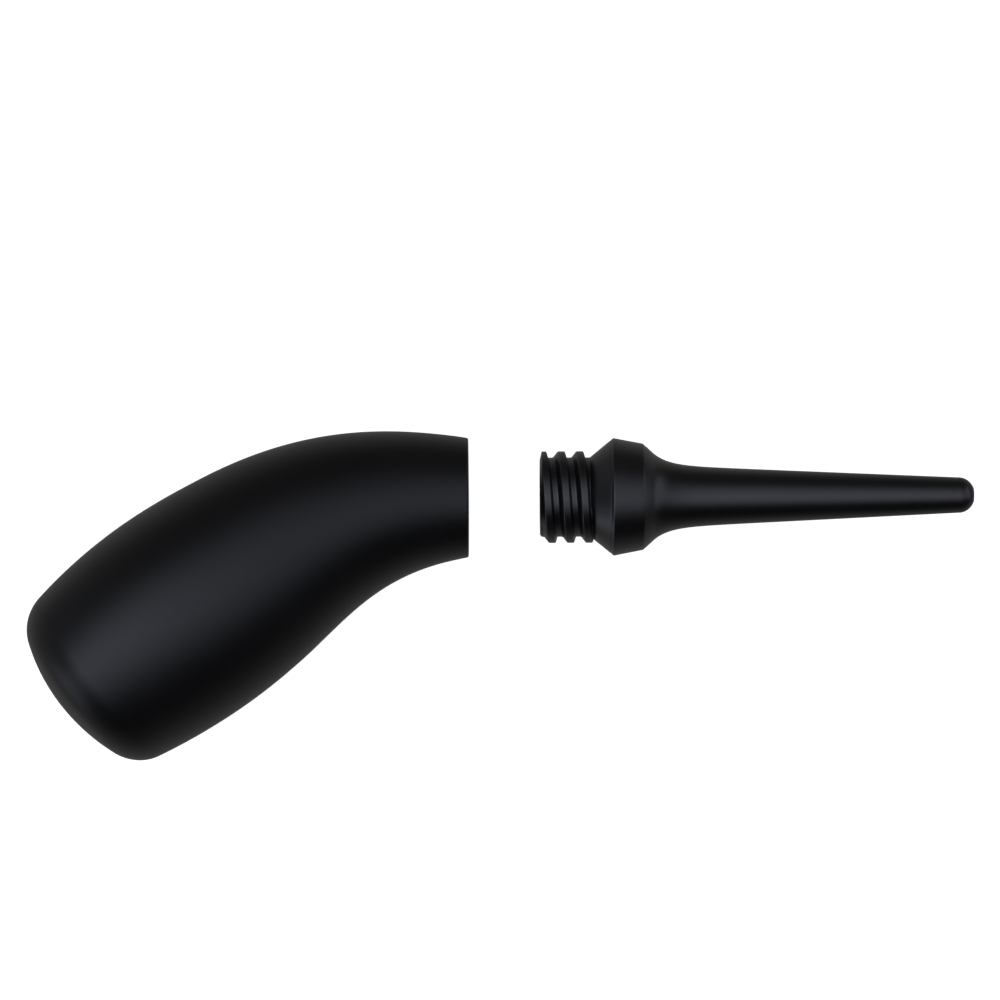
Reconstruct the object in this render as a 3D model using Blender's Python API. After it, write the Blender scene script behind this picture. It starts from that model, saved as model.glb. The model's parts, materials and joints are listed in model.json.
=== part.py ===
"""A curved hollow squeeze bulb and the nozzle that screws into its mouth.

The nozzle stands drawn out of the bulb along the axis that they share.

World frame: +X runs along the mouth's axis from the bulb to the nozzle's tip, the bulb bends in the XY plane
towards -Y, and +Z is up. The origin is at the bottom centre of the whole object's box.
"""

import math

import bmesh
import bpy
import numpy as np

MM = 0.001

# Bulb, outside. Distances run along its curved centre line, from the mouth.
MOUTH_RADIUS = 16.4 * MM
MOUTH_FLARE = 0.151  # growth of the radius per length, just behind the mouth
BELLY_RADIUS = 30.0 * MM
BELLY_DISTANCE = 86.8 * MM
END_LENGTH = 41.6 * MM  # from the belly to the middle of the domed end
END_FALL = 5.8 * MM  # how far the side falls in over the end's length
HEEL_RADIUS = 12.5 * MM  # the corner between the side and the dome
DOME_RADIUS = 54.5 * MM

# The bend of the centre line
BEND_ANGLE = math.radians(34.8)
BEND_LENGTH = 63.4 * MM
BEND_EVENNESS = 0.465  # 1 bends evenly, 0 eases in and out
END_TURN = math.radians(3.1)  # the slight further turn of the end

# Bulb, inside
WALL = 3.0 * MM
LIP_RADIUS = 0.6 * MM
LAND_WIDTH = 1.4 * MM  # the flat ring of the mouth
NECK_CLEARANCE = 0.4 * MM  # between the thread's crest and the neck's bore
NECK_SPARE_DEPTH = 1.8 * MM  # the neck's bore goes on past the seated nozzle's end
NECK_OPENING = 6.0 * MM  # length over which the bore widens into the cavity

# Nozzle, outside, from the threaded end to the tip
ROOT_RADIUS = 10.9 * MM
THREAD_LENGTH = 13.8 * MM
THREAD_PITCH = 5.08 * MM
THREAD_DEPTH = 1.7 * MM
CREST_WIDTH = 1.8 * MM
LEADING_FLANK = 1.3 * MM  # axial width of the sloped flank, which faces the open end
TRAILING_FLANK = 0.5 * MM
FIRST_CREST = 0.82 * MM  # from the threaded end to the first crest, on the +Y side
THREAD_START = math.radians(-60.0)
THREAD_FADE = math.radians(60.0)
THREAD_TURNS = 3.1
END_CHAMFER = 0.5 * MM
SHOULDER_ANGLE = math.radians(39.4)  # from the axis
COLLAR_STEP = 0.2 * MM  # the collar's edge lies this far inside the mouth's
COLLAR_EDGE_ROUND = 0.5 * MM
COLLAR_LENGTH = 8.1 * MM
COLLAR_DRAFT = math.radians(11.0)
COLLAR_FRONT_ROUND = 1.2 * MM
FLANK_ANGLE = math.radians(42.0)
FLANK_LENGTH = 2.2 * MM
FLARE_DECAY = 4.05 * MM  # the flare's extra radius falls to a third over this length
SPOUT_LENGTH = 89.1 * MM  # from the flank's foot to the tip
SPOUT_TAPER = 0.0455  # loss of radius per length
TIP_RADIUS = 4.88 * MM
TIP_CAP_LENGTH = 4.4 * MM

# Nozzle, inside
PLUG_BORE_RADIUS = 8.4 * MM
PLUG_BORE_DEPTH = 18.0 * MM
BORE_CONE_ANGLE = math.radians(45.0)
SPOUT_BORE_RADIUS = 2.6 * MM
OUTLET_RADIUS = 1.5 * MM

# How the two stand
SEAT_GAP = 0.3 * MM  # between the shoulder and the mouth's seat when the nozzle is home
DRAWN_OUT = 19.6 * MM  # from the mouth to the nozzle's threaded end

# Fineness
SEGMENTS = 36
BODY_STEP = 5.0 * MM
ARC_STEPS = 5
FLARE_STEPS = 9
CENTRE_LINE_STEPS = 600
UNION_OVERLAP = 0.8 * MM

BULB_COLOUR = (0.012, 0.012, 0.013)
BULB_ROUGHNESS = 0.5
NOZZLE_COLOUR = (0.014, 0.014, 0.015)
NOZZLE_ROUGHNESS = 0.35

COLLAR_RADIUS = MOUTH_RADIUS - COLLAR_STEP
CREST_RADIUS = ROOT_RADIUS + THREAD_DEPTH
NECK_RADIUS = CREST_RADIUS + NECK_CLEARANCE
SEAT_RADIUS = MOUTH_RADIUS - LIP_RADIUS - LAND_WIDTH
SEAT_DEPTH = (SEAT_RADIUS - NECK_RADIUS) / math.tan(SHOULDER_ANGLE)
SEATED_DEPTH = THREAD_LENGTH + (SEAT_RADIUS - ROOT_RADIUS) / math.tan(SHOULDER_ANGLE)
SEATED_DEPTH -= SEAT_GAP / math.sin(SHOULDER_ANGLE)
NECK_DEPTH = SEATED_DEPTH + NECK_SPARE_DEPTH
BULB_LENGTH = BELLY_DISTANCE + END_LENGTH


def clear_scene():
    """Remove every object."""
    for item in list(bpy.data.objects):
        bpy.data.objects.remove(item, do_unlink=True)


def make_material(name, colour, roughness):
    """A Principled BSDF material of one colour."""
    material = bpy.data.materials.new(name)
    material.use_nodes = True
    shader = material.node_tree.nodes["Principled BSDF"]
    shader.inputs["Base Color"].default_value = (*colour, 1.0)
    shader.inputs["Roughness"].default_value = roughness
    shader.inputs["Metallic"].default_value = 0.0
    return material


def make_object(name, bm, material):
    """Put a bmesh into a new smooth-shaded object."""
    bmesh.ops.recalc_face_normals(bm, faces=bm.faces)
    mesh = bpy.data.meshes.new(name)
    bm.to_mesh(mesh)
    bm.free()
    mesh.shade_smooth()
    mesh.set_sharp_from_angle(angle=math.radians(35.0))
    mesh.materials.append(material)
    item = bpy.data.objects.new(name, mesh)
    bpy.context.collection.objects.link(item)
    return item


def heading(distance):
    """Angle of the centre line from -X towards -Y."""
    bent = np.clip(distance / BEND_LENGTH, 0.0, 1.0)
    eased = bent * bent * (3.0 - 2.0 * bent)
    share = BEND_EVENNESS * bent + (1.0 - BEND_EVENNESS) * eased
    past_belly = np.clip((distance - BELLY_DISTANCE) / END_LENGTH, 0.0, None)
    return BEND_ANGLE * share + END_TURN * past_belly


def centre_line(distance):
    """Points of the centre line, from the mouth's centre, by summing short straight steps."""
    fine = np.linspace(0.0, BULB_LENGTH, CENTRE_LINE_STEPS)
    angle = heading(fine)
    step = np.diff(fine)
    middle = (angle[1:] + angle[:-1]) / 2.0
    x = np.concatenate(([0.0], np.cumsum(-np.cos(middle) * step)))
    y = np.concatenate(([0.0], np.cumsum(-np.sin(middle) * step)))
    return np.interp(distance, fine, x), np.interp(distance, fine, y)


def neck_radius(distance):
    """Outer radius from the mouth to the belly: a cubic that starts with the flare and ends level."""
    t = distance / BELLY_DISTANCE
    rise = 3.0 * t**2 - 2.0 * t**3
    start_slope = (t**3 - 2.0 * t**2 + t) * BELLY_DISTANCE * MOUTH_FLARE
    return MOUTH_RADIUS + (BELLY_RADIUS - MOUTH_RADIUS) * rise + start_slope


def end_side_radius(past):
    """Outer radius of the end's side, past the belly."""
    return BELLY_RADIUS - END_FALL * (past / END_LENGTH) ** 2


def heel_centre():
    """Where the heel's arc touches the side, and the arc's centre, as (distance past the belly, radius).

    The centre is HEEL_RADIUS inside the side and inside the dome, and is found by halving an interval.
    """
    dome_centre = END_LENGTH - DOME_RADIUS

    def centre_for(past):
        slope = -2.0 * END_FALL * past / END_LENGTH**2
        size = math.hypot(1.0, slope)
        return past + HEEL_RADIUS * slope / size, end_side_radius(past) - HEEL_RADIUS / size

    low, high = 0.0, END_LENGTH
    for _ in range(60):
        middle = (low + high) / 2.0
        along, radius = centre_for(middle)
        if math.hypot(along - dome_centre, radius) < DOME_RADIUS - HEEL_RADIUS:
            low = middle
        else:
            high = middle
    return low, centre_for(low)


def bulb_profile():
    """The outer outline as (distance, radius) pairs, from behind the lip to just short of the dome's middle."""
    touch, (heel_along, heel_up) = heel_centre()
    dome_centre = END_LENGTH - DOME_RADIUS
    neck_steps = round((BELLY_DISTANCE - LIP_RADIUS) / BODY_STEP)
    neck = np.linspace(LIP_RADIUS, BELLY_DISTANCE, neck_steps, endpoint=False)
    side = np.linspace(0.0, touch, round(touch / BODY_STEP), endpoint=False)
    slope = -2.0 * END_FALL * touch / END_LENGTH**2
    first = math.atan2(1.0, -slope)
    last = math.atan2(heel_up, heel_along - dome_centre)
    arc = np.linspace(first, last, ARC_STEPS + 2)
    dome = np.linspace(last, 0.0, ARC_STEPS, endpoint=False)[1:]
    distance = np.concatenate(
        (
            neck,
            BELLY_DISTANCE + side,
            BELLY_DISTANCE + heel_along + HEEL_RADIUS * np.cos(arc),
            BELLY_DISTANCE + dome_centre + DOME_RADIUS * np.cos(dome),
        )
    )
    radius = np.concatenate(
        (
            neck_radius(neck),
            end_side_radius(side),
            heel_up + HEEL_RADIUS * np.sin(arc),
            DOME_RADIUS * np.sin(dome),
        )
    )
    return distance, radius


def inset_profile(distance, radius):
    """The same outline moved in by the wall, for the part of it that bounds the cavity."""
    along = np.gradient(distance)
    across = np.gradient(radius)
    size = np.hypot(along, across)
    inner_distance = distance + WALL * across / size
    inner_radius = radius - WALL * along / size
    kept = inner_distance > NECK_DEPTH + NECK_OPENING
    return inner_distance[kept], inner_radius[kept]


def section_rings(distance, radius):
    """Circles square to the centre line, as an array of rings by points by coordinates."""
    x, y = centre_line(distance)
    angle = heading(distance)
    around = np.linspace(0.0, 2.0 * math.pi, SEGMENTS, endpoint=False)
    level = np.outer(radius, np.cos(around))
    ring_x = x[:, None] - np.sin(angle)[:, None] * level
    ring_y = y[:, None] + np.cos(angle)[:, None] * level
    return np.stack((ring_x, ring_y, np.outer(radius, np.sin(around))), axis=2)


def straight_rings(x, radius):
    """Circles square to the mouth's axis."""
    around = np.linspace(0.0, 2.0 * math.pi, SEGMENTS, endpoint=False)
    ring_x = np.repeat(np.asarray(x)[:, None], SEGMENTS, axis=1)
    return np.stack((ring_x, np.outer(radius, np.cos(around)), np.outer(radius, np.sin(around))), axis=2)


def loft(first_pole, rings, last_pole):
    """A closed skin from one pole over the rings to the other pole."""
    bm = bmesh.new()
    rows = [[bm.verts.new(point) for point in ring] for ring in rings]
    for row, following in zip(rows, rows[1:]):
        for i in range(SEGMENTS):
            j = (i + 1) % SEGMENTS
            bm.faces.new((row[i], row[j], following[j], following[i]))
    for pole, row in ((first_pole, rows[0]), (last_pole, rows[-1])):
        tip = bm.verts.new(pole)
        for i in range(SEGMENTS):
            bm.faces.new((tip, row[i], row[(i + 1) % SEGMENTS]))
    return bm


def pole_at(distance):
    """A point on the centre line."""
    x, y = centre_line(distance)
    return float(x), float(y), 0.0


def build_bulb(material):
    """The bulb, with its origin at the middle of its mouth."""
    distance, radius = bulb_profile()
    inner_distance, inner_radius = inset_profile(distance, radius)
    turn = np.linspace(0.0, math.pi / 2.0, ARC_STEPS)[1:]
    lip_start = neck_radius(LIP_RADIUS)
    lip_radius = lip_start - LIP_RADIUS * (1.0 - np.cos(turn))
    lip_distance = LIP_RADIUS * (1.0 - np.sin(turn))
    bore_x = [0.0, -SEAT_DEPTH, -NECK_DEPTH / 2.0, -NECK_DEPTH]
    bore_radius = [SEAT_RADIUS, NECK_RADIUS, NECK_RADIUS, NECK_RADIUS]
    rings = np.concatenate(
        (
            section_rings(distance, radius)[::-1],
            section_rings(lip_distance, lip_radius),
            straight_rings(bore_x, bore_radius),
            section_rings(inner_distance, inner_radius),
        )
    )
    bm = loft(pole_at(BULB_LENGTH), rings, pole_at(BULB_LENGTH - WALL))
    return make_object("bulb", bm, material)


def rounded_corner(before, corner, after, radius):
    """Points of an arc that rounds the corner of an outline."""
    before, corner, after = (np.array(point) for point in (before, corner, after))
    inward = (before - corner) / np.linalg.norm(before - corner)
    outward = (after - corner) / np.linalg.norm(after - corner)
    half = math.acos(float(np.dot(inward, outward))) / 2.0
    middle = (inward + outward) / np.linalg.norm(inward + outward)
    centre = corner + middle * radius / math.sin(half)
    start = corner + inward * radius / math.tan(half) - centre
    stop = corner + outward * radius / math.tan(half) - centre
    first = math.atan2(start[1], start[0])
    sweep = (math.atan2(stop[1], stop[0]) - first + math.pi) % (2.0 * math.pi) - math.pi
    turn = first + sweep * np.linspace(0.0, 1.0, ARC_STEPS)
    return [(centre[0] + radius * math.cos(a), centre[1] + radius * math.sin(a)) for a in turn]


def nozzle_stations():
    """Where the nozzle's outline changes, as (distance from the threaded end, radius)."""
    foot = (THREAD_LENGTH, ROOT_RADIUS)
    rise = COLLAR_RADIUS - ROOT_RADIUS
    edge = (foot[0] + rise / math.tan(SHOULDER_ANGLE), COLLAR_RADIUS)
    front = (edge[0] + COLLAR_LENGTH, COLLAR_RADIUS - COLLAR_LENGTH * math.tan(COLLAR_DRAFT))
    base = (front[0] + FLANK_LENGTH, front[1] - FLANK_LENGTH * math.tan(FLANK_ANGLE))
    return foot, edge, front, base


def nozzle_length():
    """From the threaded end to the tip."""
    return nozzle_stations()[-1][0] + SPOUT_LENGTH


def spout_outline(base):
    """The flare and the taper: a straight taper plus an extra radius that decays along the spout."""
    cap_start = nozzle_length() - TIP_CAP_LENGTH
    taper_start = TIP_RADIUS + SPOUT_TAPER * (cap_start - base[0])
    extra = base[1] - taper_start
    near = np.linspace(0.0, 4.0 * FLARE_DECAY, FLARE_STEPS)
    past = np.concatenate((near, np.linspace(near[-1], cap_start - base[0], 6)[1:]))
    radius = taper_start - SPOUT_TAPER * past + extra * np.exp(-past / FLARE_DECAY)
    return [(base[0] + p, r) for p, r in zip(past, radius)]


def tip_cap_outline():
    """A quarter of an ellipse, from the end of the taper to the outlet's rim."""
    start = nozzle_length() - TIP_CAP_LENGTH
    rim = math.asin(OUTLET_RADIUS / TIP_RADIUS)
    turn = np.linspace(math.pi / 2.0, rim, ARC_STEPS + 2)[1:]
    return [(start + TIP_CAP_LENGTH * math.cos(a), TIP_RADIUS * math.sin(a)) for a in turn]


def bore_outline():
    """The inside, from the outlet back to the threaded end."""
    cone = (PLUG_BORE_RADIUS - SPOUT_BORE_RADIUS) / math.tan(BORE_CONE_ANGLE)
    return [
        (PLUG_BORE_DEPTH + cone, SPOUT_BORE_RADIUS),
        (PLUG_BORE_DEPTH, PLUG_BORE_RADIUS),
        (0.0, PLUG_BORE_RADIUS),
    ]


def nozzle_outline():
    """The whole closed outline, once round."""
    foot, edge, front, base = nozzle_stations()
    points = [(0.0, ROOT_RADIUS - END_CHAMFER), (END_CHAMFER, ROOT_RADIUS), foot]
    points += rounded_corner(foot, edge, front, COLLAR_EDGE_ROUND)
    points += rounded_corner(edge, front, base, COLLAR_FRONT_ROUND)
    return points + spout_outline(base) + tip_cap_outline() + bore_outline()


def turned_body():
    """The nozzle without its thread: the outline spun about X."""
    bm = bmesh.new()
    verts = [bm.verts.new((x, radius, 0.0)) for x, radius in nozzle_outline()]
    edges = [bm.edges.new((a, b)) for a, b in zip(verts, verts[1:] + verts[:1])]
    bmesh.ops.spin(
        bm,
        geom=verts + edges,
        cent=(0.0, 0.0, 0.0),
        axis=(1.0, 0.0, 0.0),
        angle=2.0 * math.pi,
        steps=SEGMENTS,
        use_merge=True,
    )
    return bm


def thread_sections():
    """Cross sections of the ridge along a right-handed helix, which fades in and out at its ends."""
    turned = THREAD_TURNS * 2.0 * math.pi
    angle = THREAD_START + np.linspace(0.0, turned, round(THREAD_TURNS * SEGMENTS) + 1)
    middle = FIRST_CREST + THREAD_PITCH * angle / (2.0 * math.pi)
    begun = (angle - angle[0]) / THREAD_FADE
    left = (angle[-1] - angle) / THREAD_FADE
    full = np.clip(np.minimum(begun, left), 0.0, 1.0)
    depth = THREAD_DEPTH * (0.05 + 0.95 * full * full * (3.0 - 2.0 * full))
    half = CREST_WIDTH / 2.0
    deep = UNION_OVERLAP / THREAD_DEPTH
    across = np.array([-half - LEADING_FLANK * (1.0 + deep), -half, half, half + TRAILING_FLANK * (1.0 + deep)])
    x = np.maximum(middle[:, None] + across[None, :], END_CHAMFER / 2.0)
    high = ROOT_RADIUS + depth
    low = np.full_like(high, ROOT_RADIUS - UNION_OVERLAP)
    radius = np.stack((low, high, high, low), axis=1)
    return np.stack((x, radius * np.cos(angle)[:, None], radius * np.sin(angle)[:, None]), axis=2)


def build_thread_ridge():
    """The helical ridge as a separate solid, which the nozzle's union takes in."""
    bm = bmesh.new()
    rows = [[bm.verts.new(point) for point in section] for section in thread_sections()]
    count = len(rows[0])
    for row, following in zip(rows, rows[1:]):
        for i in range(count):
            j = (i + 1) % count
            bm.faces.new((row[i], row[j], following[j], following[i]))
    bm.faces.new(rows[0])
    bm.faces.new(rows[-1])
    bmesh.ops.recalc_face_normals(bm, faces=bm.faces)
    mesh = bpy.data.meshes.new("thread_ridge")
    bm.to_mesh(mesh)
    bm.free()
    ridge = bpy.data.objects.new("thread_ridge", mesh)
    bpy.context.collection.objects.link(ridge)
    ridge.hide_render = True
    ridge.display_type = "WIRE"
    return ridge


def build_nozzle(material):
    """The nozzle, with its origin at the middle of its threaded end."""
    nozzle = make_object("nozzle", turned_body(), material)
    ridge = build_thread_ridge()
    ridge.parent = nozzle
    union = nozzle.modifiers.new("thread", "BOOLEAN")
    union.operation = "UNION"
    union.solver = "EXACT"
    union.object = ridge
    return nozzle


def mouth_position():
    """The mouth's centre in the world, which puts the whole object's bottom centre at the origin."""
    skin = section_rings(*bulb_profile()).reshape(-1, 3)
    low, high = skin.min(axis=0), skin.max(axis=0)
    high[0] = DRAWN_OUT + nozzle_length()
    low[1] = min(low[1], -COLLAR_RADIUS)
    high[1] = max(high[1], COLLAR_RADIUS)
    return -(low[0] + high[0]) / 2.0, -(low[1] + high[1]) / 2.0, -low[2]


def main():
    """Build both pieces where they stand."""
    clear_scene()
    bulb = build_bulb(make_material("bulb_skin", BULB_COLOUR, BULB_ROUGHNESS))
    nozzle = build_nozzle(make_material("nozzle_plastic", NOZZLE_COLOUR, NOZZLE_ROUGHNESS))
    x, y, z = mouth_position()
    bulb.location = (x, y, z)
    nozzle.location = (x + DRAWN_OUT, y, z)


main()
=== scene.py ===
"""The looks of a black squeeze bulb and of the nozzle drawn out of its mouth.

World frame, in metres: +X runs along the mouth's axis from the bulb to the nozzle's tip, the bulb bends
towards -Y, and +Z is up. Both pieces are turned or swept surfaces, worked out on grids of two parameters.
"""

import json
import logging
import math
from dataclasses import dataclass
from enum import Enum

import bpy
import numpy as np
from mathutils import Matrix, Vector

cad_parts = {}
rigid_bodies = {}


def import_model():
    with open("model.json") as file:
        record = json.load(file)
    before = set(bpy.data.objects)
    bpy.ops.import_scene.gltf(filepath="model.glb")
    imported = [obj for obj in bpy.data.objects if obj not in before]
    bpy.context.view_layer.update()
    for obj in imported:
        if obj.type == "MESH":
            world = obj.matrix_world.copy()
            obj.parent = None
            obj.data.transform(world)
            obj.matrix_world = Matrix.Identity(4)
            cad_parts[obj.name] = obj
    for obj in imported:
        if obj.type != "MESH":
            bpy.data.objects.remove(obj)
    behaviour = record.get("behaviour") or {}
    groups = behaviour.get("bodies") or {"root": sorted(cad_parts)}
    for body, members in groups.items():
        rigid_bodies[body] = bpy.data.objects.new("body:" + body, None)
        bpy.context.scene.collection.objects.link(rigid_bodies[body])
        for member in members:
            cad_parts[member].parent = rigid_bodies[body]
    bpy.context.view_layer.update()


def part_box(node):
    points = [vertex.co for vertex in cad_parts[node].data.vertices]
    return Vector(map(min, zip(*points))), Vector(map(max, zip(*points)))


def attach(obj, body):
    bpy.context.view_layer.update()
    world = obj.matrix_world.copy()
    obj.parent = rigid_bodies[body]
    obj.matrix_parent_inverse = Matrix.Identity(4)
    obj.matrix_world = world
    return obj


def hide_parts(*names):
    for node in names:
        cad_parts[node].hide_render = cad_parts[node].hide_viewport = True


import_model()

LOG = logging.getLogger("blower")
MM = 0.001
TURN = 2.0 * math.pi
NOISE_SPREAD = (0.3, 0.7)  # nearly all of a noise texture's values lie in this range
NOISE_ROUGHNESS = 0.55


class Slot(Enum):
    """The record's material slots."""

    BULB = "bulb_rubber"
    NOZZLE = "nozzle_plastic"


# --------------------------------------------------------------------------------------------------
# Surfaces


def smooth_share(value: np.ndarray) -> np.ndarray:
    """The cubic that eases from 0 to 1, level at both ends.

    Args:
        value: where to read it; below 0 counts as 0 and above 1 as 1.

    Returns:
        3t squared minus 2t cubed.
    """
    t = np.clip(value, 0.0, 1.0)
    return t * t * (3.0 - 2.0 * t)


def soft_least(a: np.ndarray, b: np.ndarray, width: float) -> np.ndarray:
    """The smaller of two values, with a rounded change from one to the other.

    Args:
        a: the first value.
        b: the second value.
        width: how near the two come before the rounding starts.

    Returns:
        The smaller value, less a quarter of width where both are equal.
    """
    nearness = np.clip(1.0 - np.abs(a - b) / width, 0.0, None)
    return np.minimum(a, b) - nearness * nearness * width / 4.0


def even_columns(count: int) -> np.ndarray:
    """Angles that divide a turn evenly."""
    return np.linspace(0.0, TURN, count, endpoint=False)


def crowded_columns(count: int, crowding: float) -> np.ndarray:
    """Angles round a section that stand closer together near 0 and half a turn.

    The angle is t less crowding times half the sine of 2t, so its density there is 1 over (1 - crowding).

    Args:
        count: how many angles.
        crowding: from 0, even, to just under 1.

    Returns:
        The angles in radians.
    """
    t = even_columns(count)
    return t - crowding * 0.5 * np.sin(2.0 * t)


def corner_arc(before: tuple, corner: tuple, after: tuple, radius: float, steps: int) -> np.ndarray:
    """Points of the arc that rounds an outline's corner.

    The centre lies on the corner's bisector, radius over the sine of the half angle away, and the arc runs
    between the two points where it touches the sides.

    Args:
        before: a point on the side that comes in, as (x, radius).
        corner: the corner.
        after: a point on the side that goes out.
        radius: the arc's radius.
        steps: how many points.

    Returns:
        An array of steps by 2.
    """
    start, middle, stop = (np.array(point, float) for point in (before, corner, after))
    inward = (start - middle) / np.linalg.norm(start - middle)
    outward = (stop - middle) / np.linalg.norm(stop - middle)
    half = math.acos(float(inward @ outward)) / 2.0
    bisector = (inward + outward) / np.linalg.norm(inward + outward)
    centre = middle + bisector * radius / math.sin(half)
    first = middle + inward * radius / math.tan(half) - centre
    last = middle + outward * radius / math.tan(half) - centre
    angle = math.atan2(first[1], first[0])
    sweep = (math.atan2(last[1], last[0]) - angle + math.pi) % TURN - math.pi
    turn = angle + sweep * np.linspace(0.0, 1.0, steps)
    return centre + radius * np.stack((np.cos(turn), np.sin(turn)), axis=1)


def straight(start: tuple, stop: tuple, steps: int) -> np.ndarray:
    """Evenly spaced outline points from start up to, but without, stop."""
    return np.linspace(np.array(start, float), np.array(stop, float), steps, endpoint=False)


def turned(x: np.ndarray, radius: np.ndarray, around: np.ndarray) -> np.ndarray:
    """Turn an outline about X: each point keeps its x and goes round at its radius.

    Args:
        x: one value per row.
        radius: an array of rows by columns.
        around: the columns' angles from +Y towards +Z.

    Returns:
        An array of rows by columns by 3.
    """
    level, rise = radius * np.cos(around), radius * np.sin(around)
    return np.stack((np.broadcast_to(x[:, None], radius.shape), level, rise), axis=2)


def grid_faces(rows: int, columns: int, ring: bool) -> np.ndarray:
    """The corner numbers of a grid of four-sided faces that closes on itself across its columns.

    Args:
        rows: how many rows of vertices.
        columns: how many vertices in a row.
        ring: whether the last row also joins the first.

    Returns:
        An array of faces by 4.
    """
    row = np.arange(rows if ring else rows - 1)[:, None]
    column = np.arange(columns)[None, :]
    here, beside = row * columns, (row + 1) % rows * columns
    following = (column + 1) % columns
    corners = (here + column, here + following, beside + following, beside + column)
    return np.stack(np.broadcast_arrays(*corners), axis=2).reshape(-1, 4)


def signed_volume(points: np.ndarray, quads: np.ndarray, caps: np.ndarray) -> float:
    """The volume inside a closed skin: a sixth of the sum of each triangle's triple product.

    Args:
        points: the vertices.
        quads: four corner numbers per face.
        caps: three corner numbers per face.

    Returns:
        The volume, positive where the faces point outwards.
    """
    triangles = np.concatenate((quads[:, [0, 1, 2]], quads[:, [0, 2, 3]], caps))
    a, b, c = (points[triangles[:, i]] for i in range(3))
    return float(np.einsum("ij,ij->i", a, np.cross(b, c)).sum() / 6.0)


def skin_mesh(name: str, rings: np.ndarray, poles: np.ndarray) -> bpy.types.Object:
    """Make a closed smooth-shaded object from rings of points.

    Args:
        name: the object's name.
        rings: an array of rows by columns by 3.
        poles: two points that close the first and the last row, or none where the rows themselves run round.

    Returns:
        The new object, at the origin, with its faces pointing outwards.
    """
    rows, columns = rings.shape[:2]
    points = rings.reshape(-1, 3)
    quads = grid_faces(rows, columns, ring=len(poles) == 0)
    caps = np.zeros((0, 3), int)
    if len(poles):
        column = np.arange(columns)
        following = (column + 1) % columns
        last_row = (rows - 1) * columns
        first_pole = np.full(columns, len(points))
        first_cap = np.stack((following, column, first_pole), axis=1)
        last_cap = np.stack((last_row + column, last_row + following, first_pole + 1), axis=1)
        caps = np.concatenate((first_cap, last_cap))
        points = np.concatenate((points, poles))
    if signed_volume(points, quads, caps) < 0.0:
        quads, caps = quads[:, ::-1], caps[:, ::-1]
    mesh = bpy.data.meshes.new(name)
    mesh.from_pydata(points.tolist(), [], quads.tolist() + caps.tolist())
    mesh.validate()
    mesh.shade_smooth()
    item = bpy.data.objects.new(name, mesh)
    bpy.context.scene.collection.objects.link(item)
    return item


# --------------------------------------------------------------------------------------------------
# Finishes


Socket = bpy.types.NodeSocket


class NodeBench:
    """Shorthand for wiring a node tree."""

    def __init__(self, tree: bpy.types.NodeTree) -> None:
        """Work on a tree."""
        self.tree = tree

    def node(self, kind: str, inputs: dict | None = None, **settings: object) -> bpy.types.Node:
        """Add a node.

        Args:
            kind: the node's type, without its ShaderNode prefix.
            inputs: socket name to a value or to the output that feeds it.
            settings: the node's own attributes.

        Returns:
            The node.
        """
        made = self.tree.nodes.new("ShaderNode" + kind)
        for key, value in settings.items():
            setattr(made, key, value)
        for key, value in (inputs or {}).items():
            if isinstance(value, Socket):
                self.tree.links.new(value, made.inputs[key])
            else:
                made.inputs[key].default_value = value
        return made

    def reckon(self, operation: str, *terms: float | Socket) -> Socket:
        """One step of arithmetic on numbers or outputs."""
        return self.node("Math", dict(enumerate(terms)), operation=operation).outputs["Value"]

    def spread(self, value: Socket, over: tuple, low: float, high: float, kind: str = "LINEAR") -> Socket:
        """Go from low to high while a value goes over a range.

        Args:
            value: the value to follow.
            over: where the change starts and where it stops.
            low: the result at the start.
            high: the result at the stop.
            kind: the map node's interpolation.

        Returns:
            The result, held at low or high outside the range.
        """
        sockets = {"Value": value, "From Min": over[0], "From Max": over[1], "To Min": low, "To Max": high}
        return self.node("MapRange", sockets, interpolation_type=kind).outputs["Result"]

    def eased(self, value: Socket, over: tuple, low: float, high: float) -> Socket:
        """Go from low to high, level at both ends, while a value goes over a range."""
        return self.spread(value, over, low, high, "SMOOTHSTEP")

    def blend(self, share: Socket, none: Socket, full: float | Socket) -> Socket:
        """Mix two numbers: the first where the share is 0, the second where it is 1."""
        return self.node("Mix", {"Factor": share, "A": none, "B": full}, data_type="FLOAT").outputs["Result"]


class SurfaceBench(NodeBench):
    """Shorthand for wiring a material round its Principled shader."""

    def __init__(self, name: str) -> None:
        """Start a material that holds only the shader and its output.

        Args:
            name: the material's name.
        """
        self.material = bpy.data.materials.new(name)
        self.material.use_nodes = True
        super().__init__(self.material.node_tree)
        self.shader = self.tree.nodes["Principled BSDF"]

    def noise(self, place: Socket, scale: float, detail: float) -> Socket:
        """Noise on given coordinates.

        Args:
            place: the coordinates, in metres.
            scale: waves per metre.
            detail: how many finer layers it has.

        Returns:
            The noise's value.
        """
        settings = {"Vector": place, "Scale": scale, "Detail": detail, "Roughness": NOISE_ROUGHNESS}
        return self.node("TexNoise", settings).outputs["Fac"]

    def fix(self, **values: float | tuple) -> None:
        """Set the shader's own sockets, with _ for each space in a socket's name."""
        for socket, value in values.items():
            self.shader.inputs[socket.replace("_", " ")].default_value = value

    def feed(self, **sources: Socket) -> None:
        """Wire outputs into the shader, with _ for each space in a socket's name."""
        for socket, source in sources.items():
            self.tree.links.new(source, self.shader.inputs[socket.replace("_", " ")])


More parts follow.
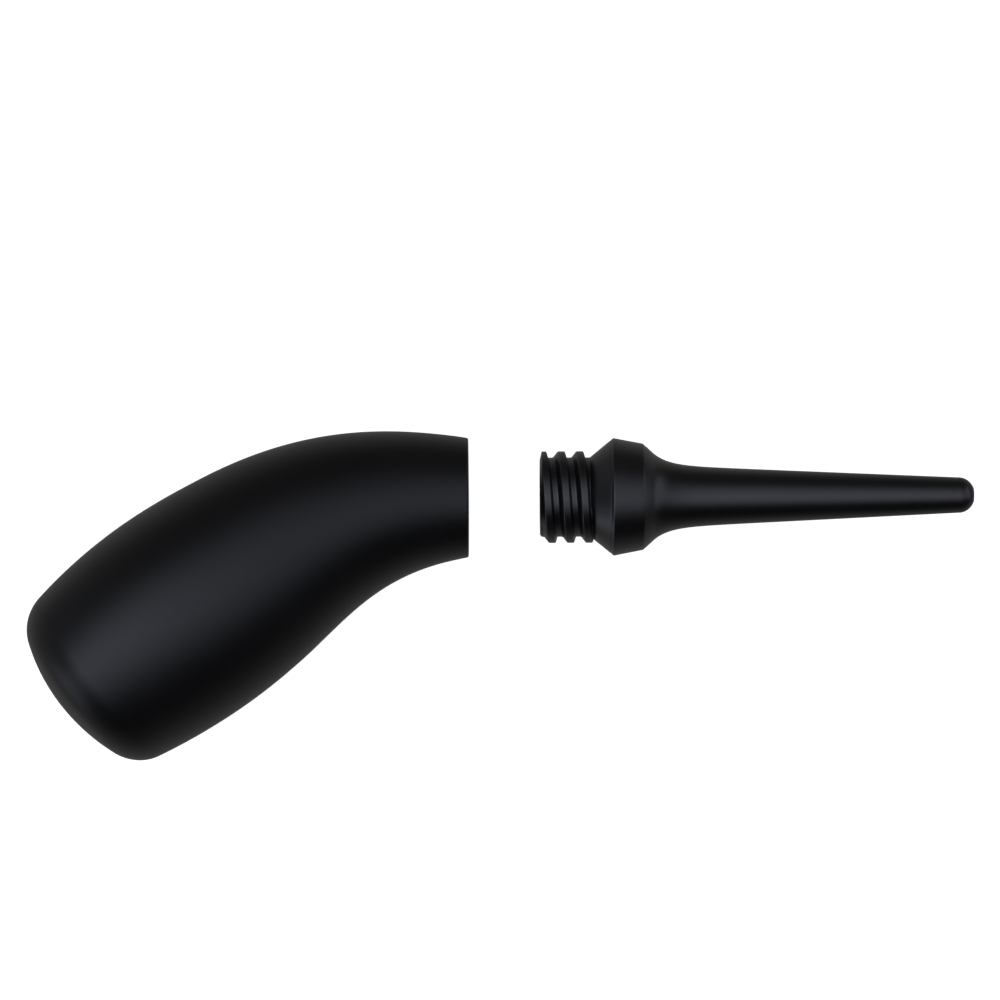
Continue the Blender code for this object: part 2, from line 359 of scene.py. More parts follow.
@dataclass(frozen=True)
class MouldedBlack:
    """A black moulded material with a fine grain, faint mottling and slightly uneven gloss."""

    name: str
    dark: tuple[float, float, float]
    light: tuple[float, float, float]
    least_rough: float
    most_rough: float
    refraction: float
    grain_per_metre: float
    grain_height: float
    cloud_per_metre: float = 38.0
    grains_per_speck: float = 6.0
    detail: float = 3.0
    speck_detail: float = 2.0

    def material(self) -> bpy.types.Material:
        """Build the material.

        Returns:
            A Principled material whose colour, roughness and bump follow noise on object coordinates.
        """
        bench = SurfaceBench(self.name)
        place = bench.node("TexCoord").outputs["Object"]
        cloud = bench.noise(place, self.cloud_per_metre, self.detail)
        speck = bench.noise(place, self.grain_per_metre / self.grains_per_speck, self.speck_detail)
        grain = bench.noise(place, self.grain_per_metre, self.detail)
        colours = {"Fac": cloud, "Color1": (*self.dark, 1.0), "Color2": (*self.light, 1.0)}
        patches = bench.reckon("MULTIPLY", bench.reckon("ADD", cloud, speck), 0.5)
        bump = {"Height": grain, "Distance": self.grain_height, "Strength": 1.0}
        bench.fix(IOR=self.refraction)
        bench.feed(
            Base_Color=bench.node("MixRGB", colours).outputs["Color"],
            Roughness=bench.spread(patches, NOISE_SPREAD, self.least_rough, self.most_rough),
            Normal=bench.node("Bump", bump).outputs["Normal"],
        )
        return bench.material


SOFT_SKIN = MouldedBlack(
    name="soft_black_skin",
    dark=(0.0014, 0.0014, 0.0016),
    light=(0.0024, 0.0024, 0.0027),
    least_rough=0.34,
    most_rough=0.40,
    refraction=1.46,
    grain_per_metre=2600.0,
    grain_height=0.000006,
)
HARD_SATIN = MouldedBlack(
    name="satin_black_plastic",
    dark=(0.0014, 0.0014, 0.0017),
    light=(0.0024, 0.0024, 0.0028),
    least_rough=0.27,
    most_rough=0.33,
    refraction=1.62,
    grain_per_metre=3800.0,
    grain_height=0.0000026,
)


# --------------------------------------------------------------------------------------------------
# The object's shared fit


@dataclass(frozen=True)
class ScrewFit:
    """The sizes that the mouth and the threaded plug share."""

    mouth: Vector
    mouth_radius: float = 16.4 * MM
    seat_radius: float = 14.4 * MM
    seat_angle: float = math.radians(39.4)
    seat_gap: float = 0.3 * MM
    neck_radius: float = 13.0 * MM
    neck_spare_depth: float = 1.8 * MM
    root_radius: float = 10.9 * MM
    plug_length: float = 13.8 * MM
    pitch: float = 5.08 * MM
    ridge_height: float = 1.7 * MM
    crest_width: float = 1.8 * MM
    leading_flank: float = 1.3 * MM
    trailing_flank: float = 0.5 * MM
    first_crest: float = 0.82 * MM
    edge_rounding: float = 0.35 * MM

    @property
    def seated_depth(self) -> float:
        """How deep the plug's end lies when the nozzle is home: cone against cone, less the gap."""
        rise = (self.seat_radius - self.root_radius) / math.tan(self.seat_angle)
        return self.plug_length + rise - self.seat_gap / math.sin(self.seat_angle)

    @property
    def neck_depth(self) -> float:
        """How deep the neck's bore is: the seated depth and some room beyond it."""
        return self.seated_depth + self.neck_spare_depth

    @property
    def seat_depth(self) -> float:
        """How deep the conical seat reaches into the mouth."""
        return (self.seat_radius - self.neck_radius) / math.tan(self.seat_angle)

    def ridge_share(self, off_centre: np.ndarray) -> np.ndarray:
        """The ridge's height, from 0 to 1, at an axial distance from the middle of its crest.

        Two slopes, the sloped leading flank and the steep trailing one, and the flat crest between them are
        joined by rounded changes.

        Args:
            off_centre: distance along +X from the crest's middle.

        Returns:
            The share of the ridge's full height.
        """
        half = self.crest_width / 2.0
        rising = (off_centre + half + self.leading_flank) / self.leading_flank
        falling = (half + self.trailing_flank - off_centre) / self.trailing_flank
        rounding = self.edge_rounding / self.ridge_height
        top = soft_least(soft_least(rising, falling, rounding), np.ones_like(rising), rounding)
        return -soft_least(-top, np.zeros_like(top), rounding)


# --------------------------------------------------------------------------------------------------
# The bulb


@dataclass
class SqueezeBulb:
    """The soft bulb: a round section swept along a curved line, with a thick neck and an open mouth."""

    fit: ScrewFit
    finish: MouldedBlack
    mouth_flare: float = 0.151
    belly_radius: float = 30.0 * MM
    belly_distance: float = 86.8 * MM
    end_length: float = 41.6 * MM
    end_fall: float = 5.8 * MM
    heel_radius: float = 12.5 * MM
    dome_radius: float = 54.5 * MM
    bend_angle: float = math.radians(34.8)
    bend_length: float = 63.4 * MM
    bend_evenness: float = 0.465
    end_turn: float = math.radians(3.1)
    wall: float = 3.0 * MM
    lip_radius: float = 0.6 * MM
    inner_break: float = 0.3 * MM
    neck_opening: float = 6.0 * MM
    seam_height: float = 0.07 * MM
    seam_width: float = 0.35 * MM
    seam_fade: float = 3.0 * MM
    groove_depth: float = 0.7 * MM
    groove_start: float = 1.0 * MM
    groove_fade_in: float = 2.0 * MM
    groove_fade_out: float = 1.0 * MM
    columns: int = 192
    seam_crowding: float = 0.88
    body_rows: int = 96
    end_rows: int = 20
    lip_rows: int = 7
    break_rows: int = 5
    neck_rows: int = 110
    cavity_rows: int = 60
    line_steps: int = 600
    halvings: int = 60

    @property
    def length(self) -> float:
        """From the mouth to the middle of the domed end, along the centre line."""
        return self.belly_distance + self.end_length

    def heading(self, distance: np.ndarray) -> np.ndarray:
        """The centre line's angle from -X towards -Y.

        It is the full bend times a mix of an even share and an eased share of the bend's length, plus a
        slight further turn past the belly.

        Args:
            distance: how far along the centre line from the mouth.

        Returns:
            The angle in radians.
        """
        even = np.clip(distance / self.bend_length, 0.0, 1.0)
        share = self.bend_evenness * even + (1.0 - self.bend_evenness) * smooth_share(even)
        past = np.clip((distance - self.belly_distance) / self.end_length, 0.0, None)
        return self.bend_angle * share + self.end_turn * past

    def centre_line(self, distance: np.ndarray) -> tuple[np.ndarray, np.ndarray]:
        """Find points of the centre line: the running sum of short steps along the heading.

        Args:
            distance: how far along the centre line from the mouth.

        Returns:
            Their X and Y from the mouth's centre.
        """
        fine = np.linspace(0.0, self.length, self.line_steps)
        angle = self.heading(fine)
        middle = (angle[1:] + angle[:-1]) / 2.0
        step = np.diff(fine)
        x = np.concatenate(([0.0], np.cumsum(-np.cos(middle) * step)))
        y = np.concatenate(([0.0], np.cumsum(-np.sin(middle) * step)))
        return np.interp(distance, fine, x), np.interp(distance, fine, y)

    def neck_outside(self, distance: np.ndarray) -> np.ndarray:
        """Outer radius from mouth to belly: the cubic that starts with the flare and ends level.

        Args:
            distance: how far along the centre line from the mouth.

        Returns:
            The radius.
        """
        t = distance / self.belly_distance
        start = (t**3 - 2.0 * t**2 + t) * self.belly_distance * self.mouth_flare
        return self.fit.mouth_radius + (self.belly_radius - self.fit.mouth_radius) * smooth_share(t) + start

    def side(self, past: np.ndarray | float) -> np.ndarray | float:
        """Outer radius past the belly: it falls with the square of the distance."""
        return self.belly_radius - self.end_fall * (past / self.end_length) ** 2

    def side_slope(self, past: float) -> float:
        """How fast the outer radius changes past the belly."""
        return -2.0 * self.end_fall * past / self.end_length**2

    def heel(self) -> tuple[float, float, float]:
        """Find the arc that joins side and dome, by halving an interval.

        Returns:
            Where the arc leaves the side, then its centre as distance past the belly and radius.
        """
        dome_centre = self.end_length - self.dome_radius
        low, high = 0.0, self.end_length
        for _ in range(self.halvings):
            touch = (low + high) / 2.0
            slope = self.side_slope(touch)
            size = math.hypot(1.0, slope)
            along = touch + self.heel_radius * slope / size
            across = self.side(touch) - self.heel_radius / size
            if math.hypot(along - dome_centre, across) < self.dome_radius - self.heel_radius:
                low = touch
            else:
                high = touch
        return low, along, across

    def outline(self) -> tuple[np.ndarray, np.ndarray]:
        """Lay out the outer outline from behind the lip to the dome.

        Returns:
            Distances along the centre line, and radii.
        """
        touch, along, across = self.heel()
        dome_centre = self.end_length - self.dome_radius
        first = math.atan2(1.0, -self.side_slope(touch))
        last = math.atan2(across, along - dome_centre)
        neck = np.linspace(self.lip_radius, self.belly_distance, self.body_rows, endpoint=False)
        flank = np.linspace(0.0, touch, self.end_rows, endpoint=False)
        arc = np.linspace(first, last, self.end_rows, endpoint=False)
        dome = np.linspace(last, 0.0, self.end_rows, endpoint=False)
        past = np.concatenate(
            (
                flank,
                along + self.heel_radius * np.cos(arc),
                dome_centre + self.dome_radius * np.cos(dome),
            )
        )
        radius = np.concatenate(
            (
                self.neck_outside(neck),
                self.side(flank),
                across + self.heel_radius * np.sin(arc),
                self.dome_radius * np.sin(dome),
            )
        )
        return np.concatenate((neck, self.belly_distance + past)), radius

    def sections(self, distance: np.ndarray, radius: np.ndarray, around: np.ndarray) -> np.ndarray:
        """Circles square to the centre line, at given distances and radii.

        A point is the centre line's point plus the radius times cosine of its angle along the in-plane normal
        and sine of its angle along Z.

        Args:
            distance: one value per row.
            radius: one value per row, or an array of rows by columns.
            around: the columns' angles.

        Returns:
            An array of rows by columns by 3, in the world.
        """
        x, y = self.centre_line(distance)
        angle = self.heading(distance)
        spread = np.broadcast_to(radius.reshape(len(distance), -1), (len(distance), len(around)))
        level = spread * np.cos(around)
        rings = np.stack(
            (
                x[:, None] - np.sin(angle)[:, None] * level,
                y[:, None] + np.cos(angle)[:, None] * level,
                spread * np.sin(around),
            ),
            axis=2,
        )
        return rings + np.array(self.fit.mouth)

    def seam(self, radius: np.ndarray, around: np.ndarray) -> np.ndarray:
        """The mould's parting line: a low bell-shaped ridge in the plane of the bend, on both sides."""
        off_plane = radius[:, None] * np.abs(np.sin(around))[None, :]
        return self.seam_height * np.exp(-((off_plane / (self.seam_width / 2.0)) ** 2))

    def outside(self, around: np.ndarray) -> np.ndarray:
        """The outer skin, from the dome back to the lip.

        Args:
            around: the columns' angles.

        Returns:
            An array of rows by columns by 3, in the world.
        """
        distance, radius = self.outline()
        shown = smooth_share(distance / self.seam_fade)
        raised = radius[:, None] + self.seam(radius, around) * shown[:, None]
        return self.sections(distance, raised, around)[::-1]

    def lip(self, around: np.ndarray) -> np.ndarray:
        """The mouth's rounded rim: a quarter circle from the outer skin to the flat land.

        Args:
            around: the columns' angles.

        Returns:
            An array of rows by columns by 3, in the world.
        """
        turn = np.linspace(0.0, math.pi / 2.0, self.lip_rows + 1)[1:]
        radius = self.neck_outside(self.lip_radius) - self.lip_radius * (1.0 - np.cos(turn))
        return self.sections(self.lip_radius * (1.0 - np.sin(turn)), radius, around)

    def socket(self, around: np.ndarray) -> np.ndarray:
        """The conical seat and the neck's bore, with the helical groove that takes the nozzle's ridge.

        The bore's radius grows by the groove's depth times the ridge's own profile, read at the distance from
        the crest's helix when the nozzle is home, and fades out below the seat and at the inner end.

        Args:
            around: the columns' angles.

        Returns:
            An array of rows by columns by 3, in the world.
        """
        seat, bore = self.fit.seat_depth, self.fit.neck_radius
        land, top = (0.0, self.fit.mouth_radius), (0.0, self.fit.seat_radius)
        foot, deep = (-seat, bore), (-self.fit.neck_depth, bore)
        profile = np.concatenate(
            (
                corner_arc(land, top, foot, self.inner_break, self.break_rows),
                corner_arc(top, foot, deep, self.inner_break, self.break_rows),
                straight((-seat - self.inner_break, bore), deep, self.neck_rows),
            )
        )
        x, radius = profile[:, 0], profile[:, 1]
        home = -self.fit.seated_depth + self.fit.first_crest + self.fit.pitch * around / TURN
        half = self.fit.pitch / 2.0
        off = (x[:, None] - home[None, :] + half) % self.fit.pitch - half
        begun = smooth_share((-x - seat - self.groove_start) / self.groove_fade_in)
        left = smooth_share((x + self.fit.neck_depth) / self.groove_fade_out)
        groove = self.groove_depth * self.fit.ridge_share(off) * (begun * left)[:, None]
        return turned(x, radius[:, None] + groove, around) + np.array(self.fit.mouth)

    def cavity(self, around: np.ndarray) -> np.ndarray:
        """The inner skin: the outer outline moved in by the wall along its own normal.

        Args:
            around: the columns' angles.

        Returns:
            An array of rows by columns by 3, in the world.
        """
        distance, radius = self.outline()
        along, across = np.gradient(distance), np.gradient(radius)
        size = np.hypot(along, across)
        inner = distance + self.wall * across / size
        inner_radius = radius - self.wall * along / size
        kept = inner > self.fit.neck_depth + self.neck_opening
        picked = np.unique(np.linspace(0, kept.sum() - 1, self.cavity_rows).round().astype(int))
        return self.sections(inner[kept][picked], inner_radius[kept][picked], around)

    def build(self) -> bpy.types.Object:
        """Make the whole skin as one closed surface and hang it on the bulb's body.

        Returns:
            The new object, which stands for the CAD bulb.
        """
        around = crowded_columns(self.columns, self.seam_crowding)
        parts = (self.outside, self.lip, self.socket, self.cavity)
        rings = np.concatenate([part(around) for part in parts])
        ends = np.array([self.length, self.length - self.wall])
        x, y = self.centre_line(ends)
        poles = np.stack((x, y, np.zeros(2)), axis=1) + np.array(self.fit.mouth)
        skin = skin_mesh("bulb_skin", rings, poles)
        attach(skin, "bulb")
        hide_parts("bulb")
        LOG.info("bulb_skin: %d faces", len(skin.data.polygons))
        return skin

    def dress(self, skin: bpy.types.Object) -> None:
        """Give the skin its finish."""
        skin.data.materials.append(self.finish.material())


# --------------------------------------------------------------------------------------------------
# The nozzle


@dataclass
class Nozzle:
    """The hard nozzle, turned about its axis: threaded plug, shoulder, collar, flare and tapered spout."""

    fit: ScrewFit
    finish: MouldedBlack
    plug_end: Vector
    collar_step: float = 0.2 * MM
    collar_edge_round: float = 0.5 * MM
    collar_length: float = 8.1 * MM
    collar_draft: float = math.radians(11.0)
    front_round: float = 1.2 * MM
    flank_angle: float = math.radians(42.0)
    flank_length: float = 2.2 * MM
    flare_decay: float = 4.05 * MM
    spout_length: float = 89.1 * MM
    spout_taper: float = 0.0455
    tip_radius: float = 4.88 * MM
    cap_length: float = 4.4 * MM
    plug_bore: float = 8.4 * MM
    plug_bore_depth: float = 18.0 * MM
    bore_edge_round: float = 0.25 * MM
    spout_bore: float = 2.6 * MM
    outlet_radius: float = 1.5 * MM
    outlet_round: float = 0.35 * MM
    end_chamfer: float = 0.5 * MM
    chamfer_round: float = 0.15 * MM
    foot_round: float = 0.4 * MM
    foot_margin: float = 0.55 * MM
    thread_start: float = math.radians(-60.0)
    thread_fade: float = math.radians(60.0)
    thread_turns: float = 3.1
    thread_end_fade: float = 0.3 * MM
    thread_blend: float = 0.15 * MM
    line_depth: float = 0.07 * MM
    line_width: float = 0.40 * MM
    line_place: float = 0.75 * MM
    columns: int = 192
    chamfer_rows: int = 4
    thread_rows: int = 190
    foot_rows: int = 6
    shoulder_steps: int = 68
    edge_rows: int = 9
    collar_rows: int = 16
    collar_rows_left_out: tuple[int, int] = (2, 3)
    front_rows: int = 10
    spout_rows: int = 90
    spout_crowding: float = 1.6
    cap_rows: int = 25
    rim_rows: int = 7
    bore_rows: tuple[int, int, int, int] = (20, 8, 12, 5)

    @property
    def collar_radius(self) -> float:
        """The widest radius, just inside the mouth's."""
        return self.fit.mouth_radius - self.collar_step

    def corners(self) -> tuple[tuple, tuple, tuple, tuple]:
        """Place the outline's corners from the plug to the spout.

        Returns:
            The shoulder's foot, the collar's edge, its front edge and the flank's foot, as (x, radius).
        """
        foot = (self.fit.plug_length, self.fit.root_radius)
        rise = self.collar_radius - self.fit.root_radius
        edge = (foot[0] + rise / math.tan(self.fit.seat_angle), self.collar_radius)
        front = (edge[0] + self.collar_length, edge[1] - self.collar_length * math.tan(self.collar_draft))
        base = (front[0] + self.flank_length, front[1] - self.flank_length * math.tan(self.flank_angle))
        return foot, edge, front, base

    def spout(self, base: tuple) -> np.ndarray:
        """The flare and the spout: a straight taper plus an extra radius that decays along it.

        Args:
            base: the flank's foot, as (x, radius).

        Returns:
            Outline points as (x, radius).
        """
        run = self.spout_length - self.cap_length
        start = self.tip_radius + self.spout_taper * run
        past = run * np.linspace(0.0, 1.0, self.spout_rows) ** self.spout_crowding
        radius = start - self.spout_taper * past + (base[1] - start) * np.exp(-past / self.flare_decay)
        return np.stack((base[0] + past, radius), axis=1)

    def cap(self, start: float) -> np.ndarray:
        """The round tip: a quarter of an ellipse down to the outlet's rounded rim.

        Args:
            start: the x where the ellipse starts.

        Returns:
            Outline points as (x, radius).
        """
        rim = math.asin((self.outlet_radius + self.outlet_round) / self.tip_radius)
        turn = np.linspace(math.pi / 2.0, rim, self.cap_rows + 1)[1:]
        round_end = np.stack((start + self.cap_length * np.cos(turn), self.tip_radius * np.sin(turn)), axis=1)
        turn = np.linspace(0.0, math.pi / 2.0, self.rim_rows + 1)[1:]
        inward = np.stack((1.0 - np.cos(turn), np.sin(turn)), axis=1)
        return np.concatenate((round_end, round_end[-1] - self.outlet_round * inward))

    def inside(self) -> np.ndarray:
        """The bore: a long taper from the outlet, a cone, and the wide bore of the plug.

        Returns:
            Outline points as (x, radius).
        """
        cone_end = (self.plug_bore_depth + self.plug_bore - self.spout_bore, self.spout_bore)
        deep, mouth = (self.plug_bore_depth, self.plug_bore), (0.0, self.plug_bore)
        tip = (self.corners()[3][0] + self.spout_length - self.cap_length / 2.0, self.outlet_radius)
        taper, cone, wide, edge = self.bore_rows
        return np.concatenate(
            (
                straight(tip, cone_end, taper),
                straight(cone_end, deep, cone),
                straight(deep, mouth, wide),
                corner_arc(deep, mouth, (0.0, self.fit.root_radius), self.bore_edge_round, edge),
            )
        )

    def plug_rows(self, foot: tuple) -> np.ndarray:
        """Close rows from the end face's chamfer over the thread to the shoulder's foot.

        Args:
            foot: the shoulder's foot, as (x, radius).

        Returns:
            Outline points as (x, radius).
        """
        flat = (0.0, self.fit.root_radius - self.end_chamfer)
        edge = (self.end_chamfer, self.fit.root_radius)
        chamfer = corner_arc((0.0, self.plug_bore), flat, edge, self.chamfer_round, self.chamfer_rows)
        shoulder = (foot[0] + MM, foot[1] + MM * math.tan(self.fit.seat_angle))
        fillet = corner_arc(edge, foot, shoulder, self.foot_round, self.foot_rows)
        rows = np.linspace(edge, fillet[0], self.thread_rows, endpoint=False)
        return np.concatenate((chamfer, rows, fillet))

    def shoulder_rows(self, foot: tuple, edge: tuple) -> np.ndarray:
        """Even rows up the conical shoulder, clear of the roundings at its foot and its edge.

        Args:
            foot: the shoulder's foot, as (x, radius).
            edge: the collar's edge, as (x, radius).

        Returns:
            Outline points as (x, radius).
        """
        share = np.linspace(0.0, 1.0, self.shoulder_steps + 2)[1:-1]
        start, stop = np.array(foot), np.array(edge)
        margin = self.foot_margin / np.linalg.norm(stop - start)
        return start + (stop - start) * (margin + (1.0 - 2.0 * margin) * share)[:, None]

    def outline(self) -> np.ndarray:
        """Join the whole closed outline, once round.

        Returns:
            Outline points as (x, radius).
        """
        foot, edge, front, base = self.corners()
        first, last = self.collar_rows_left_out
        return np.concatenate(
            (
                self.plug_rows(foot),
                self.shoulder_rows(foot, edge),
                corner_arc(foot, edge, front, self.collar_edge_round, self.edge_rows),
                straight(edge, front, self.collar_rows)[first:-last],
                corner_arc(edge, front, base, self.front_round, self.front_rows),
                self.spout(base),
                self.cap(base[0] + self.spout_length - self.cap_length),
                self.inside(),
            )
        )

    def ridge(self, x: np.ndarray, around: np.ndarray) -> np.ndarray:
        """The thread's height over the root, on a grid of rows by columns.

        Each turn's crest lies on x = first crest + pitch times its running angle over a turn. The height is
        the ridge's profile at the distance from it, times an eased fade at both ends, and the highest turn
        counts.

        Args:
            x: one distance from the plug's end per row.
            around: the columns' angles.

        Returns:
            The heights.
        """
        last = self.thread_start + self.thread_turns * TURN
        height = np.zeros((len(x), len(around)))
        for turn in range(-1, math.ceil(self.thread_turns) + 1):
            running = around + turn * TURN
            middle = self.fit.first_crest + self.fit.pitch * running / TURN
            begun = (running - self.thread_start) / self.thread_fade
            left = (last - running) / self.thread_fade
            full = smooth_share(np.minimum(begun, left))
            share = self.fit.ridge_share(x[:, None] - middle[None, :])
            height = np.maximum(height, self.fit.ridge_height * share * full[None, :])
        clear_of_end = smooth_share((x - self.end_chamfer / 2.0) / self.thread_end_fade)
        return height * clear_of_end[:, None]

    def parting_line(self, x: np.ndarray, edge: tuple) -> np.ndarray:
        """The mould's witness line: a shallow bell-shaped groove round the shoulder, near its edge."""
        off = (x - (edge[0] - self.line_place)) / (self.line_width / 2.0)
        return self.line_depth * np.exp(-off * off)

    def build(self) -> bpy.types.Object:
        """Turn the outline about X, raise the thread on it and hang it on the nozzle's body.

        Returns:
            The new object, which stands for the CAD nozzle.
        """
        around = even_columns(self.columns)
        outline = self.outline()
        x, radius = outline[:, 0], outline[:, 1]
        edge = self.corners()[1]
        mid_wall = (self.plug_bore + self.fit.root_radius - self.end_chamfer) / 2.0
        plug = (radius > mid_wall) & (x > 0.0) & (x < edge[0])
        crest = self.fit.root_radius + self.ridge(x, around)
        raised = -soft_least(-crest, -np.broadcast_to(radius[:, None], crest.shape), self.thread_blend)
        spread = np.where(plug[:, None] & (crest > self.fit.root_radius), raised, radius[:, None])
        spread = spread - np.where(plug, self.parting_line(x, edge), 0.0)[:, None]
        rings = turned(x, spread, around) + np.array(self.plug_end)
        body = skin_mesh("nozzle_body", rings, np.zeros((0, 3)))
        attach(body, "nozzle")
        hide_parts("nozzle")
        LOG.info("nozzle_body: %d faces", len(body.data.polygons))
        return body

    def dress(self, body: bpy.types.Object) -> None:
        """Give the nozzle its finish."""
        body.data.materials.append(self.finish.material())


# --------------------------------------------------------------------------------------------------
# The studio


@dataclass(frozen=True)
class SoftLight:
    """The studio's light, as a brightness for each direction around the object.

    A long soft box hangs overhead along X, brighter towards the bulb's end. A panel stands beyond the
    nozzle's tip, and a taller one at the corner that the bulb's end faces. The two long sides are dim, and
    pale light comes up from below. Each range is of a direction's X, Y or Z, from -1 to 1.
    """

    box_lean: float = math.radians(-6.0)
    near_half: float = math.radians(46.0)
    far_half: float = math.radians(69.0)
    box_strength: float = 0.98
    box_growth: float = 0.36
    box_colour: tuple[float, float, float, float] = (0.905, 0.945, 1.13, 1.0)
    horizon: tuple[float, float] = (-0.05, 0.15)
    end_x: tuple[float, float] = (0.55, 0.90)
    end_to_end_x: tuple[float, float] = (-0.5, 0.5)
    panel_edge_y: tuple[float, float] = (-0.5, -0.1)
    bulb_end: float = 0.90
    bulb_end_far: float = 0.12
    bulb_end_foot_z: tuple[float, float] = (-0.5, 0.0)
    nozzle_end: float = 0.64
    across_y: tuple[float, float] = (-0.6, 0.6)
    side_near: float = 0.025
    side_far: float = 0.08
    low_near: float = 0.20
    low_far: float = 0.24
    low_z: tuple[float, float] = (-0.6, 0.0)
    low_at_horizon: float = 0.4

    def box(self, bench: NodeBench, x: Socket, y: Socket, z: Socket) -> Socket:
        """The overhead box.

        Its brightness falls on both sides with an eased share of the angle from its middle, measured across
        X, and is multiplied by the growth raised to x.

        Args:
            bench: the world's nodes.
            x: the direction's X.
            y: the direction's Y.
            z: the direction's Z.

        Returns:
            The brightness.
        """
        lean = bench.reckon("SUBTRACT", bench.reckon("ARCTAN2", y, z), self.box_lean)
        near = bench.eased(lean, (-self.near_half, 0.0), 0.0, self.box_strength)
        far = bench.eased(lean, (0.0, self.far_half), 1.0, 0.0)
        band = bench.reckon("MULTIPLY", near, far)
        return bench.reckon("MULTIPLY", band, bench.reckon("POWER", self.box_growth, x))

    def build(self) -> bpy.types.World:
        """Make the world: the end panels take over from the box where x nears 1, and the grey is added.

        Returns:
            The world.
        """
        world = bpy.data.worlds.new("soft_light")
        world.use_nodes = True
        world.node_tree.nodes.clear()
        bench = NodeBench(world.node_tree)
        toward = bench.node("SeparateXYZ", {"Vector": bench.node("TexCoord").outputs["Generated"]}).outputs
        x, y, z = toward["X"], toward["Y"], toward["Z"]
        above = bench.eased(z, self.horizon, 0.0, 1.0)
        toward_nozzle = bench.eased(x, self.end_to_end_x, 0.0, 1.0)
        corner = bench.eased(y, self.panel_edge_y, self.bulb_end, self.bulb_end_far)
        beyond_tip = bench.eased(y, self.panel_edge_y, 0.0, self.nozzle_end)
        panels = bench.blend(toward_nozzle, corner, beyond_tip)
        reach = bench.blend(toward_nozzle, bench.eased(z, self.bulb_end_foot_z, 0.0, 1.0), above)
        end = bench.eased(bench.reckon("ABSOLUTE", x), self.end_x, 0.0, 1.0)
        bright = bench.blend(bench.reckon("MULTIPLY", end, reach), self.box(bench, x, y, z), panels)
        sides = bench.eased(y, self.across_y, self.side_near, self.side_far)
        low = bench.eased(y, self.across_y, self.low_near, self.low_far)
        lower = bench.reckon("MULTIPLY", low, bench.eased(z, self.low_z, 1.0, self.low_at_horizon))
        grey = bench.blend(above, lower, sides)
        lights = (
            bench.node("Background", {"Color": self.box_colour, "Strength": bright}),
            bench.node("Background", {"Color": (1.0, 1.0, 1.0, 1.0), "Strength": grey}),
        )
        both = bench.node("AddShader", {0: lights[0].outputs[0], 1: lights[1].outputs[0]})
        bench.node("OutputWorld", {"Surface": both.outputs[0]})
        return world


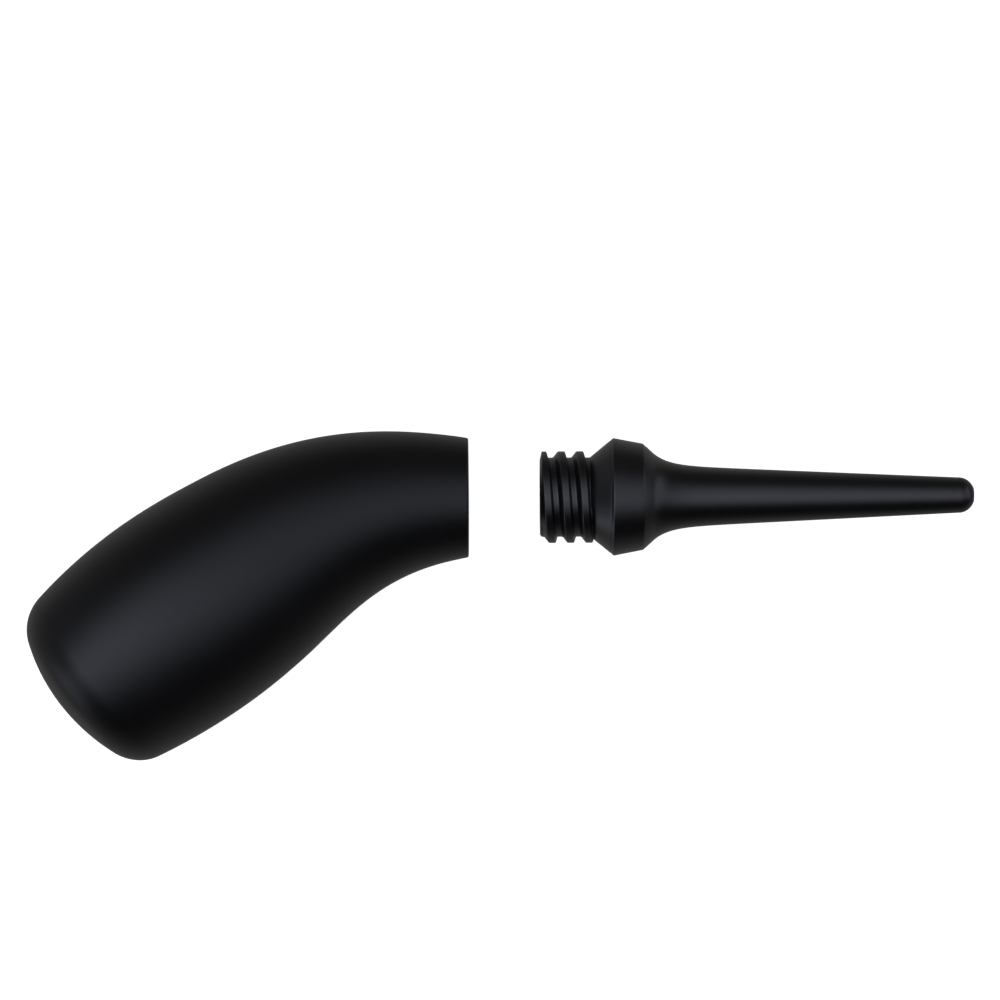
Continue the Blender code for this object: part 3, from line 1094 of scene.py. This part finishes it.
@dataclass
class Studio:
    """A pale sweep to lie on, soft light and a camera that looks straight down on the plane of the bend."""

    centre: Vector
    light: SoftLight
    aim_offset: tuple[float, float] = (-0.2 * MM, -0.7 * MM)
    view_width: float = 0.275
    lens: float = 200.0
    sensor: float = 36.0
    clip: tuple[float, float] = (0.01, 20.0)
    roll: float = math.radians(0.3)
    hub_radius: float = 0.02
    flat_radius: float = 2.5
    sweep_radius: float = 2.5
    sweep_height: float = 6.0
    flat_rows: int = 12
    bend_rows: int = 24
    sweep_columns: int = 96
    paleness: float = 0.85
    glow: float = 0.84

    def sweep(self) -> None:
        """The pale sweep: a flat round floor whose edge curves up into a wall.

        It is a profile turned about Z: the floor's radius, a quarter circle, and a straight wall. Only the
        camera sees it, so the light reaches the object from all sides.
        """
        turn = np.linspace(0.0, math.pi / 2.0, self.bend_rows)
        flat = np.linspace(self.hub_radius, self.flat_radius, self.flat_rows, endpoint=False)
        bend = self.flat_radius + self.sweep_radius * np.sin(turn)
        rise = self.sweep_radius * (1.0 - np.cos(turn))
        radius = np.concatenate((flat, bend, bend[-1:]))[:, None]
        height = np.concatenate((np.zeros_like(flat), rise, [self.sweep_height]))[:, None]
        around = even_columns(self.sweep_columns)
        across, along = radius * np.cos(around), radius * np.sin(around)
        points = np.stack((across, along, np.broadcast_to(height, across.shape)), axis=2).reshape(-1, 3)
        hub = list(range(self.sweep_columns))[::-1]
        faces = grid_faces(len(radius), self.sweep_columns, ring=False).tolist() + [hub]
        mesh = bpy.data.meshes.new("sweep")
        mesh.from_pydata(points.tolist(), [], faces)
        mesh.shade_smooth()
        mesh.materials.append(self.pale_material())
        item = bpy.data.objects.new("sweep", mesh)
        bpy.context.scene.collection.objects.link(item)
        item.visible_glossy = item.visible_diffuse = item.visible_shadow = False

    def pale_material(self) -> bpy.types.Material:
        """Make the sweep's matt finish.

        Returns:
            A plain material that glows a little.
        """
        bench = SurfaceBench("pale_sweep")
        bench.fix(Base_Color=(self.paleness, self.paleness, self.paleness, 1.0), Roughness=1.0)
        bench.fix(Specular_IOR_Level=0.0, Emission_Color=(1.0, 1.0, 1.0, 1.0), Emission_Strength=self.glow)
        return bench.material

    def camera(self) -> None:
        """The camera, straight above its aim, at the distance that makes the view as wide as asked."""
        data = bpy.data.cameras.new("camera")
        data.lens = self.lens
        data.sensor_width = self.sensor
        data.clip_start, data.clip_end = self.clip
        item = bpy.data.objects.new("camera", data)
        height = self.view_width * self.lens / self.sensor
        lifted = Matrix.Translation(self.centre + Vector((*self.aim_offset, height)))
        item.matrix_world = lifted @ Matrix.Rotation(-self.roll, 4, "Z")
        bpy.context.scene.collection.objects.link(item)
        bpy.context.scene.camera = item

    def build(self) -> None:
        """Set up the sweep, the light and the camera."""
        self.sweep()
        bpy.context.scene.world = self.light.build()
        bpy.context.scene.view_settings.view_transform = "Standard"
        self.camera()
        LOG.info("studio ready")


def main() -> None:
    """Build both pieces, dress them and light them."""
    logging.basicConfig(level=logging.INFO, format="%(name)s %(message)s")
    _, bulb_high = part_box("bulb")
    nozzle_low, nozzle_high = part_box("nozzle")
    axis_y, axis_z = ((nozzle_low[i] + nozzle_high[i]) / 2.0 for i in (1, 2))
    fit = ScrewFit(mouth=Vector((bulb_high[0], axis_y, axis_z)))
    bulb = SqueezeBulb(fit, SOFT_SKIN)
    bulb.dress(bulb.build())
    nozzle = Nozzle(fit, HARD_SATIN, Vector((nozzle_low[0], axis_y, axis_z)))
    nozzle.dress(nozzle.build())
    Studio(centre=Vector((0.0, axis_y, axis_z)), light=SoftLight()).build()


if __name__ == "__main__":
    main()
